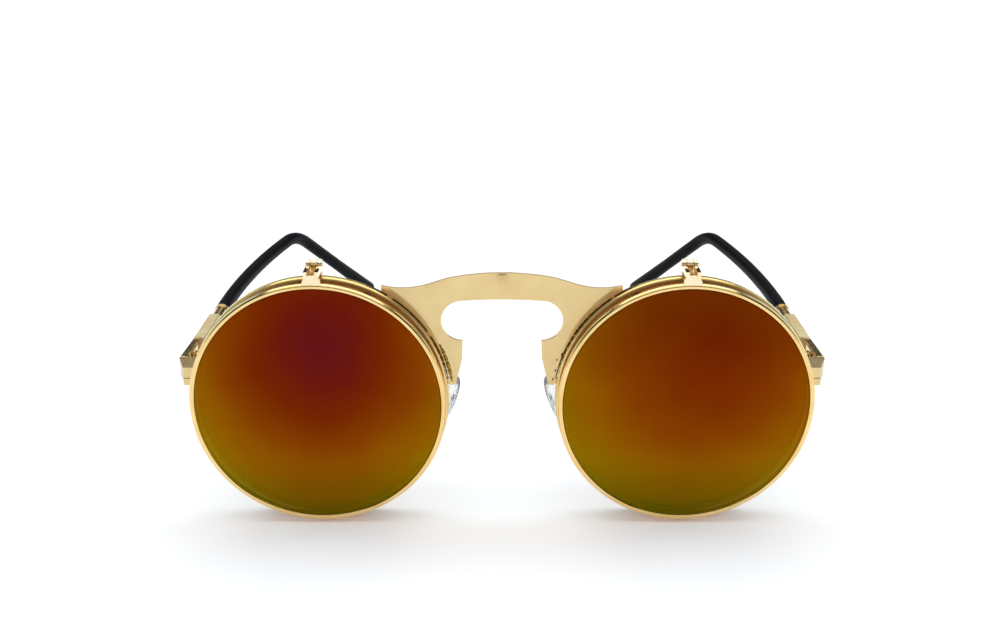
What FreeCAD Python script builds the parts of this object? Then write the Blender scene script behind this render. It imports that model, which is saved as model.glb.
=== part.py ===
import FreeCAD, Part
import math
import os
import re
import Sketcher
from FreeCAD import Placement, Rotation, Vector

# Round flip-up sunglasses, standing open. Millimetres, X to the right, Y backwards, Z up.
# Everything is drawn with the base rims' middle plane at Y = 0 and the table at Z = 0.
# The right side is modelled and the left side is its mirror image.

# Driving dimensions: name, value or formula, meaning.
SIZES = [
    # Round rims and lenses
    ("rim_radius", "26.5", "outer radius of a rim"),
    ("nose_half", "11.0", "half the space between the rims"),
    ("ring_x", "=rim_radius + nose_half", "rim centre to the middle plane"),
    ("rim_wall", "1.1", "radial width of a rim"),
    ("rim_depth", "1.8", "base rim, front to back"),
    ("rim_edge", "0.25", "chamfer on a rim's outer edges"),
    ("rim_lip", "0.2", "chamfer on a rim's inner edges"),
    ("groove_depth", "0.45", "lens groove in a rim"),
    ("groove_half", "0.5", "half the width of the lens groove"),
    ("rim_inner", "=rim_radius - rim_wall", "inner radius of a rim"),
    ("lens_thick", "1.5", "lens thickness"),
    ("lens_curve", "260", "radius of a lens face"),
    ("lens_gap", "0.05", "clearance of a lens in its rim"),
    ("lens_edge", "=rim_inner - lens_gap", "lens radius inside the groove"),
    ("lens_sag", "=lens_curve - sqrt(lens_curve^2 - lens_edge^2)", "rise of a lens face"),
    ("flip_depth", "1.6", "flip rim, front to back"),
    ("flip_ahead", "4.9", "flip rim's middle plane ahead of the base rim's"),
    ("flip_trim", "0.3", "flip rim smaller in radius than the base rim"),
    ("flip_lift", "0.4", "flip rim's middle above the base rim's"),
    ("solder_gap", "0.02", "clearance round a screw or pin that is fixed in its hole"),
    ("run_gap", "0.05", "clearance round a screw or pin that turns"),
    ("side_gap", "0.08", "clearance between the side faces of two knuckles"),
    # Flip hinge on top of each rim
    ("flip_pin_rise", "2.6", "flip pin above the top of the base rim"),
    ("flip_pin_z", "=2*rim_radius + flip_pin_rise", "flip pin height"),
    ("flip_pin_radius", "0.42", "flip pin"),
    ("flip_knuckle_radius", "0.92", "flip hinge barrel"),
    ("flip_hinge_width", "3.0", "whole flip hinge barrel"),
    ("flip_centre_width", "1.3", "centre knuckle of the flip hinge"),
    ("flip_pin_head", "0.62", "flip pin head radius"),
    ("flip_pin_head_thick", "0.2", "flip pin head thickness"),
    ("saddle_width", "3.0", "foot of the flip hinge on the base rim"),
    ("saddle_depth", "1.5", "foot, front to back"),
    ("saddle_rise", "0.7", "foot above the rim"),
    ("yoke_width", "3.0", "yoke's plate and its two ears"),
    ("yoke_thick", "0.8", "thickness of the yoke's plate"),
    ("yoke_top_drop", "0.05", "top of the yoke's plate below the flip pin"),
    ("yoke_slot_drop", "0.95", "bottom of the slot in the yoke's plate below the flip pin"),
    ("yoke_ear_drop", "1.3", "underside of the yoke's ears below the flip pin"),
    ("tab_flare", "0.6", "widening of the yoke's plate at its foot"),
    ("tab_foot", "0.5", "tab reaches this far below the flip rim's top before it is fitted"),
    # Bridge plate, half outlines as X and Z above the rim centres
    ("bridge_thick", "0.9", "bridge plate thickness"),
    ("crown_rise", "0.65", "top edge's middle above the rims"),
    ("shoulder_drop", "1.15", "top edge's fall to the shoulder"),
    ("dip_drop", "1.35", "fall from the shoulder to the hollow"),
    ("shoulder_x", "11.0", "where the top edge starts to fall"),
    ("bridge_top", "=rim_radius + crown_rise", "top edge at the middle"),
    ("shoulder_rise", "=bridge_top - shoulder_drop", "top edge at the shoulder"),
    ("crown_radius", "=(shoulder_x^2 + shoulder_drop^2)/(2*shoulder_drop)", "top edge's arc"),
    ("dip_x", "15.2", "where the top edge's hollow starts"),
    ("dip_rise", "=shoulder_rise - dip_drop", "top edge there"),
    ("dip_radius", "17.5", "arc of the hollow in the top edge"),
    ("wing_angle", "118.4", "place of the plate's outer corner round the rim"),
    ("wing_out", "1.28", "outer corner outside the rim"),
    ("wing_x", "=ring_x + (rim_radius + wing_out)*cos(wing_angle*1deg)", "outer corner"),
    ("wing_rise", "=(rim_radius + wing_out)*sin(wing_angle*1deg)", "outer corner"),
    ("foot_rise", "2.9", "bottom of the plate's legs"),
    ("foot_x", "=nose_half - foot_width", "inner corner of a leg's bottom"),
    ("foot_width", "1.45", "leg's bottom beside the rim"),
    ("leg_x", "=nose_half - leg_width", "inner edge of a leg"),
    ("leg_width", "2.8", "leg's upright edge from the rim's innermost point"),
    ("leg_upright", "3.9", "upright edge between leg and cut-out"),
    ("bar_height", "5.85", "plate's bar above the cut-out"),
    ("hole_radius", "4.35", "the cut-out's round end"),
    ("hole_x", "=nose_half - hole_in", "centre of the cut-out's round end"),
    ("hole_in", "2.95", "that centre from the rim's innermost point"),
    ("hole_rise", "=bridge_top - bar_height - hole_radius", "centre of the cut-out's round end"),
    ("leg_rise", "=hole_rise - hole_radius - leg_upright", "where a leg's edge becomes upright"),
    ("scoop_radius", "4.0", "ball that hollows the front edge at the middle of the top"),
    ("scoop_depth", "0.3", "depth of that hollow in the plate"),
    ("scoop_rise", "0.95", "ball's middle above the top edge"),
    ("lintel_radius", "110", "underside of the plate's bar"),
    ("bridge_gap", "0.35", "gap between the plate's edge and a rim"),
    ("bridge_tab", "1.3", "width of a soldered tab that spans the gap"),
    ("bridge_tab_angle", "172", "angle of the lowest tab round the rim"),
    ("bridge_tab_step_angle", "24", "angle between tabs"),
    # End piece and the rim's closing block
    ("end_out", "1.75", "end piece's front outside the rim"),
    ("end_flare", "1.85", "its rear and the temple outside its front"),
    ("end_x", "=rim_radius + end_out", "outer edge of the end piece's front from the rim centre"),
    ("end_back_x", "=end_x + end_flare", "outer face of the end piece's rear and the temple"),
    ("end_flat", "0.9", "straight stretch behind the flare"),
    ("end_rise", "4.95", "end piece's middle above the rim centre"),
    ("end_height", "3.9", "end piece height"),
    ("end_front", "0.9", "end piece ahead of the rim's middle plane"),
    ("end_back", "5.2", "end piece behind the rim's middle plane"),
    ("end_round", "0.5", "rounded outer corners"),
    ("slit", "0.15", "split in the base rim and round the closing block"),
    ("lock_height", "1.5", "closing block, the end piece's lower front corner"),
    ("lock_back", "2.6", "closing block behind the rim's middle plane"),
    ("lock_screw_out", "0.7", "closing screw outside the rim"),
    ("lock_screw_x", "=rim_radius + lock_screw_out", "closing screw from the rim centre"),
    ("lock_screw_y", "1.3", "closing screw behind the rim's middle plane"),
    ("lock_screw_radius", "0.4", "closing screw shank"),
    ("lock_head_radius", "0.65", "closing screw head"),
    ("lock_head", "0.5", "closing screw head height"),
    ("lock_bite", "1.6", "closing screw's length in the end piece"),
    ("end_z", "=rim_radius + end_rise", "end piece and temple height"),
    ("end_low", "=end_z - end_height/2", "underside of the end piece"),
    ("lock_top", "=end_low + lock_height", "top of the closing block"),
    # Temple hinge
    ("pin_y", "6.8", "temple hinge screw behind the rim's middle plane"),
    ("knuckle_radius", "1.15", "temple hinge knuckles"),
    ("hinge_height", "3.8", "temple hinge, top to bottom"),
    ("lug_height", "1.2", "each of the two outer lugs"),
    ("leaf_thick", "0.4", "hinge plates"),
    ("screw_radius", "0.5", "temple hinge screw shank"),
    ("screw_head_radius", "0.95", "temple hinge screw head"),
    ("screw_head", "0.5", "temple hinge screw head height"),
    ("driver_slot", "0.28", "slot in a screw head, wide and deep"),
    ("rear_leaf_length", "6.5", "rear hinge plate behind the pin"),
    ("rear_leaf_half", "1.5", "half the height of the rear hinge plate"),
    ("rear_leaf_start", "1.45", "full height plate starts this far behind the pin"),
    # Temple
    ("plate_thick", "1.3", "temple plate"),
    ("plate_half", "1.95", "half the height of the temple plate at the hinge"),
    ("plate_end_half", "1.55", "half its height at the barrel"),
    ("plate_length", "11.6", "temple plate"),
    ("barrel_in", "1.25", "ribs inwards of the temple's axis"),
    ("barrel_out", "1.3", "smooth outer face from the temple's axis"),
    ("barrel_half", "1.8", "half the height over the ribs"),
    ("rib_relief", "0.26", "depth between the ribs"),
    ("rib_round", "0.7", "rounded corners of the ribs"),
    ("rib_thick", "0.45", "one rib"),
    ("rib_pitch", "0.85", "rib spacing"),
    ("rib_count", "18", "ribs along the barrel"),
    ("flange_radius", "1.7", "flange at the ferrule's rear"),
    ("flange_thick", "0.6", "that flange"),
    ("ferrule_radius", "1.4", "ferrule"),
    ("ferrule_length", "7.4", "ferrule with its flange"),
    ("core_radius", "0.65", "wire inside the sleeve"),
    ("sleeve_start", "1.5", "black sleeve's radius at the ferrule"),
    ("sleeve_full", "1.65", "its radius where the bow starts"),
    ("sleeve_radius", "1.65", "its radius round the ear"),
    ("bow_start", "42", "sleeve runs straight to this far behind the rims"),
    ("bow_radius", "250", "inward curve of the sleeve"),
    ("bow_angle", "12.5", "inward turn before the ear bend"),
    ("ear_radius", "20", "ear bend"),
    ("hook_in_angle", "22", "hook's inward turn, seen from above"),
    ("hook_down_angle", "35", "hook's slope"),
    ("paddle_length", "26", "stretch of the hook that widens"),
    ("paddle_half", "2.0", "half the height of the sleeve's end"),
    ("paddle_side", "1.6", "half the width of the sleeve's end"),
    ("paddle_round", "2.2", "rounding of the sleeve's end"),
    ("core_short", "8", "core wire ends this far before the sleeve's end"),
    ("plate_x", "=end_back_x - plate_thick", "inner face of the temple plate from the rim centre"),
    ("pin_x", "=plate_x - run_gap - knuckle_radius", "temple hinge screw from the rim centre"),
    ("plate_y", "=end_back + run_gap", "front of the temple plate"),
    ("barrel_y", "=plate_y + plate_length", "front of the ribbed barrel"),
    ("barrel_length", "=rib_pitch*(rib_count - 1) + rib_thick", "ribbed barrel"),
    ("ferrule_y", "=barrel_y + barrel_length", "front of the ferrule"),
    ("sleeve_y", "=ferrule_y + ferrule_length", "front of the sleeve"),
    ("temple_x", "=ring_x + end_back_x - barrel_out", "temple's axis"),
    # Nose pads
    ("pad_in", "2.4", "pad's back face behind the rim, from the rim's innermost point"),
    ("pad_drop", "6.3", "pad's middle below the rim centre"),
    ("pad_x", "=nose_half + pad_in", "pad's back face, middle"),
    ("pad_y", "9.4", "behind the rim's middle plane"),
    ("pad_z", "=rim_radius - pad_drop", "height"),
    ("pad_splay_angle", "30", "pad's rear edge turned outwards"),
    ("pad_slant_angle", "34", "pad's top leaning inwards"),
    ("pad_half_height", "7.5", "pad"),
    ("pad_half_width", "4.1", "pad"),
    ("pad_thick", "1.7", "pad"),
    ("lug_half", "0.45", "half the width of the pad's lug"),
    ("lug_radius", "0.7", "lug's round end"),
    ("pad_pin_out", "1.05", "pad's pin behind its back face"),
    ("pad_pin_radius", "0.3", "pad's pin"),
    ("pad_pin_head", "0.5", "pad's pin head radius"),
    ("pad_pin_head_thick", "0.25", "pad's pin head"),
    ("box_gap", "0.1", "clearance between the lug and its clip"),
    ("box_wall", "0.45", "clip's wall"),
    ("box_half", "0.95", "half the height of the clip"),
    ("box_setback", "0.5", "clip's open side from the pad's back face"),
    ("arm_radius", "0.45", "pad arm wire"),
    ("arm_rise", "0.6", "arm starts this far above the rim centre"),
    ("arm_bend", "1.3", "bends of the arm"),
    ("arm_back", "3.6", "arm's first run behind the rim"),
    ("arm_out", "1.6", "arm's last run behind the clip"),
    ("loop_in", "4.2", "arm's loop from the rim's innermost point"),
    ("loop_drop", "0.9", "arm's loop below the rim centre"),
    ("loop_x", "=nose_half + loop_in", "arm's loop from the middle plane"),
    ("loop_y", "6.4", "arm's loop behind the rim's middle plane"),
    ("loop_z", "=rim_radius - loop_drop", "arm's loop height"),
    # Set at the end, so that the origin is under the middle of the whole part
    ("front_y", "0", "base rims' middle plane in the part's own frame"),
]

doc = FreeCAD.newDocument("FlipUpSunglasses")
dims = doc.addObject("Spreadsheet::Sheet", "Dims")
NAMES = [name for name, _, _ in SIZES]
for row, (name, amount, meaning) in enumerate(SIZES, start=1):
    dims.set(f"A{row}", name)
    dims.set(f"B{row}", amount)
    dims.set(f"C{row}", meaning)
    dims.setAlias(f"B{row}", name)
doc.recompute()


def linked(text):
    """The expression with each size's name turned into its cell."""
    def cell(match):
        word = match.group()
        return f"Dims.{word}" if word in NAMES else word

    return re.sub(r"[a-z]\w*", cell, text)


def value(text):
    """The expression's number."""
    return float(dims.evalExpression(linked(text)))


def spot(x, y, z):
    return Vector(value(x), value(y), value(z))


def bind(item, **properties):
    """Tie properties to expressions; Placement_Base_x stands for Placement.Base.x."""
    for key, text in properties.items():
        item.setExpression(key.replace("_Base_", ".Base."), linked(text))
    return item


def move(item, x="0", y="0", z="0"):
    return bind(item, Placement_Base_x=x, Placement_Base_y=y, Placement_Base_z=z)


# Solids from primitives and booleans

def block(x0, x1, y0, y1, z0, z1):
    item = doc.addObject("Part::Box", "Block")
    bind(item, Length=f"({x1}) - ({x0})", Width=f"({y1}) - ({y0})", Height=f"({z1}) - ({z0})")
    return move(item, x0, y0, z0)


AXES = {
    "x": Rotation(Vector(0, 1, 0), 90),
    "y": Rotation(Vector(1, 0, 0), -90),
    "z": Rotation(),
}


def rod(axis, x, y, z, radius, length):
    """A cylinder that starts at the point and runs along the axis."""
    item = doc.addObject("Part::Cylinder", "Rod")
    item.Placement = Placement(Vector(), AXES[axis])
    bind(item, Radius=radius, Height=length)
    return move(item, x, y, z)


def join(*pieces):
    item = doc.addObject("Part::MultiFuse", "Join")
    item.Shapes = list(pieces)
    item.Refine = True
    return item


def carve(base, *tools):
    item = doc.addObject("Part::Cut", "Carve")
    item.Base = base
    item.Tool = tools[0] if len(tools) == 1 else join(*tools)
    item.Refine = True
    return item


def overlap(first, second):
    item = doc.addObject("Part::Common", "Overlap")
    item.Base = first
    item.Tool = second
    return item


def solid(shape):
    item = doc.addObject("Part::Feature", "Solid")
    item.Shape = shape
    return item


# Sketched solids

def new_body(name):
    return doc.addObject("PartDesign::Body", name)


def outline(body, plane, corners):
    """A closed sketch. A corner is (x, y), or (x, y, radius, turn) where an arc leads on to the
    next corner: turn 1 curves to the left of the direction of travel and -1 to the right."""
    sketch = body.newObject("Sketcher::SketchObject", "Outline")
    support = next(item for item in body.Origin.OriginFeatures if item.Role == plane)
    sketch.AttachmentSupport = [(support, "")]
    sketch.MapMode = "FlatFace"
    points = [spot(corner[0], corner[1], "0") for corner in corners]
    ends = []
    for index, corner in enumerate(corners):
        start = points[index]
        end = points[(index + 1) % len(points)]
        if len(corner) == 2:
            sketch.addGeometry(Part.LineSegment(start, end), False)
            ends.append((1, 2))
            continue
        radius = value(corner[2])
        turn = corner[3]
        half = (end - start) * 0.5
        rise = math.sqrt(max(radius ** 2 - half.Length ** 2, 0.0))
        normal = Vector(-half.y, half.x, 0).normalize()
        centre = start + half + normal * (rise * turn)
        angles = [math.atan2(point.y - centre.y, point.x - centre.x) for point in (start, end)]
        first, last = angles if turn > 0 else angles[::-1]
        circle = Part.Circle(centre, Vector(0, 0, 1), radius)
        sketch.addGeometry(Part.ArcOfCircle(circle, first, last), False)
        ends.append((1, 2) if turn > 0 else (2, 1))
    for index, corner in enumerate(corners):
        after = (index + 1) % len(corners)
        link = Sketcher.Constraint("Coincident", index, ends[index][1], after, ends[after][0])
        sketch.addConstraint(link)
        for kind, axis, text in (("DistanceX", -2, corner[0]), ("DistanceY", -1, corner[1])):
            at = points[index].x if kind == "DistanceX" else points[index].y
            if text == "0":
                sketch.addConstraint(Sketcher.Constraint("PointOnObject", index, ends[index][0], axis))
                continue
            number = sketch.addConstraint(Sketcher.Constraint(kind, -1, 1, index, ends[index][0], at))
            sketch.setExpression(f"Constraints[{number}]", linked(text))
        if len(corner) > 2:
            number = sketch.addConstraint(Sketcher.Constraint("Radius", index, value(corner[2])))
            sketch.setExpression(f"Constraints[{number}]", linked(corner[2]))
    return sketch


def turned(name, corners):
    """A solid of revolution about Y: corners are (radius, distance along Y)."""
    body = new_body(name)
    sketch = outline(body, "XY_Plane", corners)
    feature = body.newObject("PartDesign::Revolution", "Turn")
    feature.Profile = sketch
    feature.ReferenceAxis = (sketch, ["V_Axis"])
    feature.Angle = 360
    return body


def padded(name, plane, corners, length):
    """A sketch raised along its plane's positive axis."""
    body = new_body(name)
    raise_outline(body, plane, corners, length)
    return body


def raise_outline(body, plane, corners, length):
    feature = body.newObject("PartDesign::Pad", "Raise")
    feature.Profile = outline(body, plane, corners)
    feature.Reversed = plane == "XZ_Plane"
    return bind(feature, Length=length)


def rounded(x0, x1, z0, z1, inner, outer):
    """A rectangle with rounded corners: inner at its x0 side, outer at its x1 side."""
    return [
        (f"{x0} + {inner}", z0),
        (f"{x1} - {outer}", z0, outer, 1),
        (x1, f"{z0} + {outer}"),
        (x1, f"{z1} - {outer}", outer, 1),
        (f"{x1} - {outer}", z1),
        (f"{x0} + {inner}", z1, inner, 1),
        (x0, f"{z1} - {inner}"),
        (x0, f"{z0} + {inner}", inner, 1),
    ]


# Bent wires

def arc_between(start, leave, arrive, radius):
    """An arc that leaves start along one direction and ends along the other."""
    turn = math.acos(max(-1.0, min(1.0, leave.dot(arrive))))
    inward = (arrive - leave * leave.dot(arrive)).normalize()

    def at(angle):
        return start + inward * (radius * (1 - math.cos(angle))) + leave * (radius * math.sin(angle))

    return Part.Arc(start, at(turn / 2), at(turn)).toShape(), at(turn)


def bent(points, radius):
    """Straight runs between the points, joined by tangent arcs."""
    edges = []
    here = points[0]
    for before, corner, after in zip(points, points[1:], points[2:]):
        leave = (corner - before).normalize()
        arrive = (after - corner).normalize()
        setback = radius * math.tan(math.acos(leave.dot(arrive)) / 2)
        bend = corner - leave * setback
        edges.append(Part.LineSegment(here, bend).toShape())
        edge, here = arc_between(bend, leave, arrive, radius)
        edges.append(edge)
    edges.append(Part.LineSegment(here, points[-1]).toShape())
    return edges


def ring_wire(edge, at, radius):
    """A circle square to the edge, at that parameter."""
    return Part.Wire(Part.Circle(edge.valueAt(at), edge.tangentAt(at), radius).toShape())


def tube(edges, radius):
    """A round bar along the edges."""
    first = edges[0]
    ring = ring_wire(first, first.FirstParameter, radius)
    return Part.Wire(edges).makePipeShell([ring], True, False)


def taper(edge, start, end):
    """A round bar along the edge that goes from one radius to the other."""
    rings = [ring_wire(edge, edge.FirstParameter, start), ring_wire(edge, edge.LastParameter, end)]
    return Part.Wire(edge).makePipeShell(rings, True, False)


# Front: rims and lenses

def rim(name, depth, trim="0"):
    half = f"{depth}/2"
    outer = f"rim_radius - {trim}"
    inner = f"rim_inner - {trim}"
    return turned(name, [
        (outer, f"-{half} + rim_edge"),
        (outer, f"{half} - rim_edge"),
        (f"{outer} - rim_edge", half),
        (f"{inner} + rim_lip", half),
        (inner, f"{half} - rim_lip"),
        (inner, "groove_half"),
        (f"{inner} + groove_depth", "0"),
        (inner, "-groove_half"),
        (inner, f"-{half} + rim_lip"),
        (f"{inner} + rim_lip", f"-{half}"),
        (f"{outer} - rim_edge", f"-{half}"),
    ])


def lens(name, trim="0"):
    """A bevelled disc whose two faces belong to large balls behind it."""
    bevel = "groove_half - lens_gap"
    front = "(lens_thick/2 + lens_sag)"
    edge = f"lens_edge - {trim}"
    disc = turned(name, [
        ("0", f"-{front}"),
        (edge, f"-{front}"),
        (edge, f"-({bevel})"),
        (f"{edge} + groove_depth", "0"),
        (edge, bevel),
        (edge, "lens_thick/2"),
        ("0", "lens_thick/2"),
    ])
    outer_ball, inner_ball = [doc.addObject("Part::Sphere", "FaceBall") for _ in range(2)]
    for ball in (outer_ball, inner_ball):
        bind(ball, Radius="lens_curve")
    move(outer_ball, "0", f"lens_curve - {front}")
    move(inner_ball, "0", f"lens_curve - {front} + lens_thick")
    return carve(overlap(disc, outer_ball), inner_ball)


def rim_core(radius="rim_radius", ahead="0", lift="0"):
    """The space inside a rim, for fitting a piece to the rim's round outside."""
    reach = "4*end_back"
    return rod("y", "ring_x", f"-{reach} - {ahead}", f"rim_radius + {lift}", radius, f"2*{reach}")


def base_rim():
    ring = move(rim("BaseRing", "rim_depth"), "ring_x", "0", "rim_radius")
    split = block("ring_x + rim_inner - rim_wall", "ring_x + rim_radius + rim_wall",
                  "-rim_depth", "rim_depth", "lock_top", "lock_top + slit")
    return carve(ring, split)


def base_lens():
    return join_one(move(lens("BaseLens"), "ring_x", "0", "rim_radius"))


def flip_ring(name):
    return move(rim(name, "flip_depth", "flip_trim"), "ring_x", "-flip_ahead", "rim_radius + flip_lift")


def flip_rim():
    return join_one(flip_ring("FlipRing"))


def flip_lens():
    return join_one(move(lens("FlipLens", "flip_trim"), "ring_x", "-flip_ahead", "rim_radius + flip_lift"))


def join_one(piece):
    """A piece of its own that follows another object's shape."""
    item = doc.addObject("Part::Compound2", "Piece")
    item.Links = [piece]
    return item


# Bridge plate

def bridge_plate():
    half = [
        ("wing_x", "wing_rise"),
        ("wing_x", "wing_rise - rim_wall*2"),
        ("ring_x - rim_inner + rim_wall", "foot_rise"),
        ("foot_x", "foot_rise"),
        ("leg_x", "leg_rise"),
        ("hole_x", "hole_rise - hole_radius"),
        ("hole_x + hole_radius", "hole_rise"),
        ("hole_x", "hole_rise + hole_radius"),
        ("dip_x", "dip_rise"),
        ("shoulder_x", "shoulder_rise"),
    ]
    wing, under_wing, toe, foot, leg, hole_low, hole_side, hole_high, dip, shoulder = half

    def flip(corner):
        return (f"-({corner[0]})", corner[1])

    corners = [
        shoulder,
        (*dip, "dip_radius", 1),
        wing,
        under_wing,
        toe,
        foot,
        leg,
        (*hole_low, "hole_radius", 1),
        (*hole_side, "hole_radius", 1),
        (*hole_high, "lintel_radius", 1),
        (*flip(hole_high), "hole_radius", 1),
        (*flip(hole_side), "hole_radius", 1),
        flip(hole_low),
        flip(leg),
        flip(foot),
        flip(toe),
        flip(under_wing),
        (*flip(wing), "dip_radius", 1),
        flip(dip),
        (*flip(shoulder), "crown_radius", -1),
    ]
    plate = move(padded("BridgeOutline", "XZ_Plane", corners, "bridge_thick"),
                 "0", "-bridge_thick/2", "rim_radius")
    left_core = rim_core("rim_radius + bridge_gap")
    bind(left_core, Placement_Base_x="-ring_x")
    gapped = carve(plate, rim_core("rim_radius + bridge_gap"), left_core)
    tabs = []
    for step in range(3):
        angle = f"bridge_tab_angle - {step}*bridge_tab_step_angle"
        for side in (1, -1):
            tab = doc.addObject("Part::Box", "Tab")
            bind(tab, Length="rim_wall + 2*bridge_gap", Width="bridge_thick", Height="bridge_tab")
            turn = math.radians(value(angle))
            outward = Vector(math.cos(turn) * side, 0, math.sin(turn))
            across = Vector(-outward.z, 0, outward.x)
            corner = Vector(side * value("ring_x"), 0, value("rim_radius"))
            corner = corner + outward * value("rim_radius - rim_wall/2")
            corner = corner - across * value("bridge_tab/2") - Vector(0, value("bridge_thick/2"), 0)
            tab.Placement = Placement(corner, Rotation(outward, Vector(), across, "XZY"))
            tabs.append(tab)
    left_rim = rim_core()
    bind(left_rim, Placement_Base_x="-ring_x")
    scoop = doc.addObject("Part::Sphere", "Scoop")
    bind(scoop, Radius="scoop_radius")
    move(scoop, "0", "scoop_depth - scoop_radius - bridge_thick/2", "rim_radius + bridge_top + scoop_rise")
    return carve(join(gapped, *tabs), rim_core(), left_rim, scoop)


# Flip hinge

def flip_barrel(x0, x1, radius="flip_knuckle_radius"):
    return rod("x", f"ring_x + {x0}", "0", "flip_pin_z", radius, f"({x1}) - ({x0})")


def flip_hinge_base():
    half = "flip_centre_width/2"
    front, back = "-saddle_depth/2", "saddle_depth/2"
    saddle = block("ring_x - saddle_width/2", "ring_x + saddle_width/2", front, back,
                   "2*rim_radius - rim_wall", "2*rim_radius + saddle_rise")
    post = block(f"ring_x - {half}", f"ring_x + {half}", front, back, "2*rim_radius", "flip_pin_z")
    knuckle = flip_barrel(f"-{half}", half)
    bore = flip_barrel("-flip_hinge_width", "flip_hinge_width", "flip_pin_radius + run_gap")
    return carve(join(saddle, post, knuckle), rim_core(), bore)


def flip_yoke():
    half = "flip_hinge_width/2"
    gap = "(flip_centre_width/2 + side_gap)"
    ear = "yoke_width/2"
    front = "-(flip_ahead + flip_depth/2)"
    low = "flip_pin_z - yoke_ear_drop"
    high = "flip_pin_z - yoke_top_drop"
    foot = "2*rim_radius + flip_lift - flip_trim - tab_foot"
    tab = padded("YokeTab", "XZ_Plane", [
        (f"-({ear} + tab_flare)", foot),
        (f"{ear} + tab_flare", foot),
        (ear, low),
        (ear, high),
        (f"-{ear}", high),
        (f"-{ear}", low),
    ], "yoke_thick")
    move(tab, "ring_x", front)
    pieces = [
        tab,
        flip_barrel(f"-{half}", f"-{gap}"),
        flip_barrel(gap, half),
        block(f"ring_x - {ear}", f"ring_x - {gap}", front, "0", low, high),
        block(f"ring_x + {gap}", f"ring_x + {ear}", front, "0", low, high),
    ]
    slot = block(f"ring_x - {gap}", f"ring_x + {gap}", f"2*({front})", "2*flip_knuckle_radius",
                 "flip_pin_z - yoke_slot_drop", "flip_pin_z + 2*flip_knuckle_radius")
    bore = flip_barrel(f"-2*{half}", f"2*{half}", "flip_pin_radius + solder_gap")
    seat = flip_ring("YokeSeat")
    return carve(join(*pieces), slot, seat, bore)


def flip_hinge_pin():
    half = "(flip_hinge_width/2 + solder_gap)"
    shank = flip_barrel(f"-{half}", half, "flip_pin_radius")
    heads = [flip_barrel(half, f"{half} + flip_pin_head_thick", "flip_pin_head"),
             flip_barrel(f"-{half} - flip_pin_head_thick", f"-{half}", "flip_pin_head")]
    return join(shank, *heads)


# End piece, closing block and screw

def lock_rod(z0, z1, radius):
    return rod("z", "ring_x + lock_screw_x", "lock_screw_y", z0, radius, f"({z1}) - ({z0})")


def lock_bore():
    """The closing screw's hole, with room for its head."""
    shank = lock_rod("end_low - lock_head", "lock_top + slit + lock_bite + solder_gap",
                     "lock_screw_radius + solder_gap")
    head = lock_rod("end_low - lock_head", "end_low + lock_head + solder_gap",
                    "lock_head_radius + solder_gap")
    return join(shank, head)


def end_bar(name):
    bar = padded(name, "XY_Plane", [
        ("rim_inner - rim_wall", "-end_front"),
        ("end_x - end_round", "-end_front", "end_round", 1),
        ("end_x", "end_round - end_front"),
        ("end_back_x", "end_back - end_flat"),
        ("end_back_x", "end_back"),
        ("rim_inner - rim_wall", "end_back"),
    ], "end_height")
    return move(bar, "ring_x", "0", "end_low")


def lock_corner(gap):
    """The end piece's lower front corner, up to the gap behind and above it."""
    return block("ring_x", "ring_x + 2*end_back_x", "-2*end_back", f"lock_back + {gap}",
                 "end_low - lock_height", f"lock_top + {gap}")


def endpiece():
    return carve(end_bar("EndBar"), lock_corner("slit"), rim_core(), lock_bore())


def rim_lock_block():
    return carve(overlap(end_bar("LockBar"), lock_corner("0")), rim_core(), lock_bore())


def rim_lock_screw():
    x = "ring_x + lock_screw_x"
    shank = lock_rod("end_low", "lock_top + slit + lock_bite", "lock_screw_radius")
    head = lock_rod("end_low", "end_low + lock_head", "lock_head_radius")
    slot = block(f"{x} - lock_head_radius", f"{x} + lock_head_radius",
                 "lock_screw_y - driver_slot/2", "lock_screw_y + driver_slot/2",
                 "end_low", "end_low + driver_slot")
    return carve(join(shank, head), slot)


# Temple hinge

def hinge_rod(z0, z1, radius):
    return rod("z", "ring_x + pin_x", "pin_y", f"end_z + {z0}", radius, f"({z1}) - ({z0})")


def hinge_block(x0, x1, y0, y1, z0, z1):
    return block(f"ring_x + {x0}", f"ring_x + {x1}", y0, y1, f"end_z + {z0}", f"end_z + {z1}")


def temple_hinge_front():
    half = "hinge_height/2"
    west, east = "pin_x - knuckle_radius", "pin_x + knuckle_radius"
    pieces = [hinge_block(west, east, "end_back", "end_back + leaf_thick", f"-{half}", half)]
    for z0, z1 in ((f"-{half}", f"-{half} + lug_height"), (f"{half} - lug_height", half)):
        pieces.append(hinge_rod(z0, z1, "knuckle_radius"))
        pieces.append(hinge_block(west, east, "end_back", "pin_y", z0, z1))
    bore = hinge_rod(f"-2*{half}", f"2*{half}", "screw_radius + solder_gap")
    return carve(join(*pieces), bore)


def temple_hinge_screw():
    half = "hinge_height/2"
    shank = hinge_rod(f"-{half}", half, "screw_radius")
    head = hinge_rod(half, f"{half} + screw_head", "screw_head_radius")
    slot = hinge_block("pin_x - driver_slot/2", "pin_x + driver_slot/2",
                       "pin_y - screw_head_radius", "pin_y + screw_head_radius",
                       f"{half} + screw_head - driver_slot", f"{half} + screw_head")
    return carve(join(shank, head), slot)


def temple_hinge_rear():
    half = "(hinge_height/2 - lug_height - side_gap)"
    knuckle = hinge_rod(f"-{half}", half, "knuckle_radius")
    web = hinge_block("pin_x", "plate_x", "pin_y", "pin_y + rear_leaf_start", f"-{half}", half)
    leaf = hinge_block("plate_x - leaf_thick", "plate_x",
                       "pin_y + rear_leaf_start", "pin_y + rear_leaf_length",
                       "-rear_leaf_half", "rear_leaf_half")
    bore = hinge_rod(f"-2*{half}", f"2*{half}", "screw_radius + run_gap")
    return carve(join(knuckle, web, leaf), bore)


# Temple

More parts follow.
